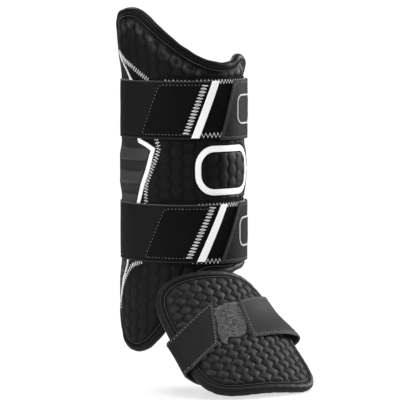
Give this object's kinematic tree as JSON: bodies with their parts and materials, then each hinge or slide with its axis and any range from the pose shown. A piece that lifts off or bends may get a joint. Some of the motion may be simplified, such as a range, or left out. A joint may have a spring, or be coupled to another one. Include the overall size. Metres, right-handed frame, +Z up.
{
  "type": "batter's leg guard",
  "caption": "Quilted batter's shin guard with a side ankle flap, two wrap straps and an arched foot pad held by its own strap.",
  "frame": {"origin": "on the middle line of the leg, a little above the middle of the shell, at the mount leg_seat", "axes": "+Z up the leg, -Y ahead of the shin towards the toe, -X to the outer side of the leg"},
  "size_m": [0.2004, 0.2846, 0.4213],
  "materials": {
    "quilt": "black quilted synthetic, soft sheen",
    "foot_quilt": "black quilted synthetic with round cells",
    "binding": "smooth rolled binding",
    "panel": "moulded dark grey",
    "white_trim": "white",
    "loop_fabric": "brushed loop fabric",
    "elastic": "fine ribbed elastic",
    "tab": "dark pebbled",
    "grey_line": "grey raised line",
    "felt": "grey fuzzy loop",
    "webbing": "woven webbing"
  },
  "bodies": {
    "root": {"shin_shell": "quilt", "shin_binding": "binding", "side_panel": "panel", "side_piping": "white_trim", "front_badge_frame": "white_trim", "upper_loop_patch": "loop_fabric", "upper_strap": "elastic", "upper_ribbon": "white_trim", "upper_tab": "tab", "upper_tab_frame": "grey_line", "lower_loop_patch": "loop_fabric", "lower_strap": "elastic", "lower_ribbon": "white_trim", "lower_tab": "tab", "lower_tab_frame": "grey_line", "foot_pad": "foot_quilt", "foot_binding": "binding", "foot_loop_pad": "felt", "foot_strap": "webbing", "ankle_link": "binding"}
  },
  "joints": []
}
